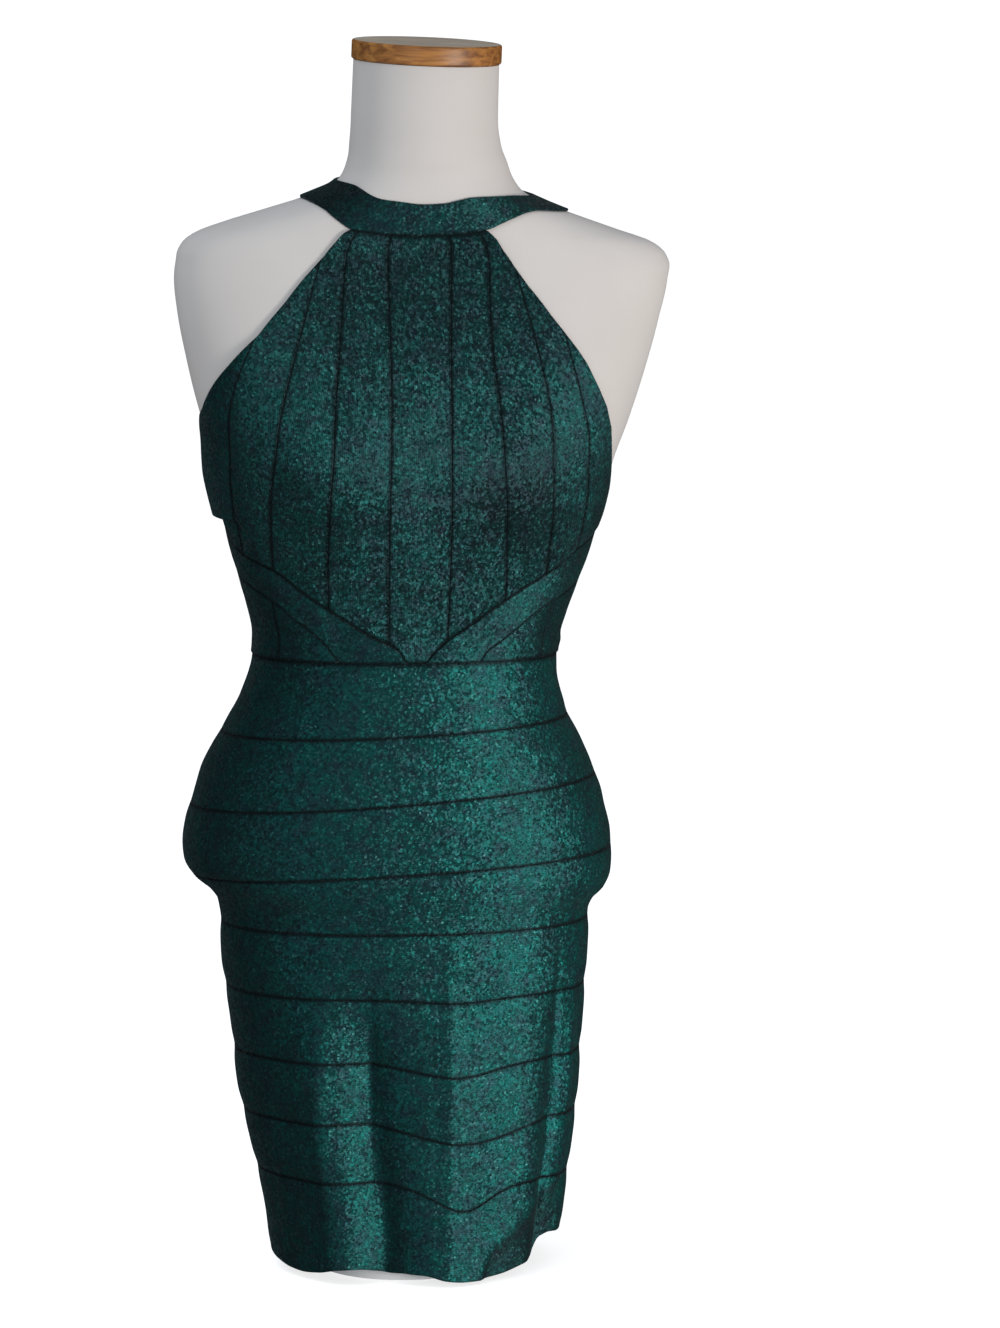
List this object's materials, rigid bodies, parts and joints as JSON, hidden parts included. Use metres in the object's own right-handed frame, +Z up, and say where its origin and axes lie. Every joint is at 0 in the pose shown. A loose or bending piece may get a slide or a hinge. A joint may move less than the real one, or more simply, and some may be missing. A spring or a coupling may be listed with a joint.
{
  "type": "bodycon dress on a limbless dress form",
  "caption": "Halter-neck bodycon dress of knitted bands on a limbless dress form with a wooden neck cap, on a small stand inside the skirt.",
  "frame": {"origin": "centre of the underside of the stand's base plate, on the surface that the part stands on", "axes": "+Z up along the stand's post, -Y towards the front of the dress, +X towards the wearer's left side"},
  "size_m": [0.3837, 0.2212, 0.9657],
  "materials": {
    "knit": "stretch knit with metallic thread, dark emerald",
    "form_cover": "smooth stretched jersey, off-white",
    "cap_wood": "satin lacquer",
    "stand_paint": "satin"
  },
  "bodies": {
    "root": {"form_torso": "form_cover", "form_neck_cap": "cap_wood", "stand_collar": "stand_paint", "stand_post": "stand_paint", "stand_base": "stand_paint", "neck_band": "knit", "bodice_strip_1": "knit", "bodice_strip_2": "knit", "bodice_strip_3": "knit", "bodice_strip_4": "knit", "bodice_strip_5": "knit", "bodice_strip_6": "knit", "bodice_strip_7": "knit", "bodice_strip_8": "knit", "bodice_strip_9": "knit", "diagonal_band_left": "knit", "diagonal_band_right": "knit", "gore_left_side": "knit", "gore_left_front": "knit", "gore_right_front": "knit", "gore_right_side": "knit", "back_band_1": "knit", "back_band_2": "knit", "skirt_band_1": "knit", "skirt_band_2": "knit", "skirt_band_3": "knit", "skirt_band_4": "knit", "skirt_band_5": "knit", "skirt_band_6": "knit", "skirt_band_7": "knit", "skirt_band_8": "knit", "skirt_band_9": "knit"}
  },
  "joints": []
}
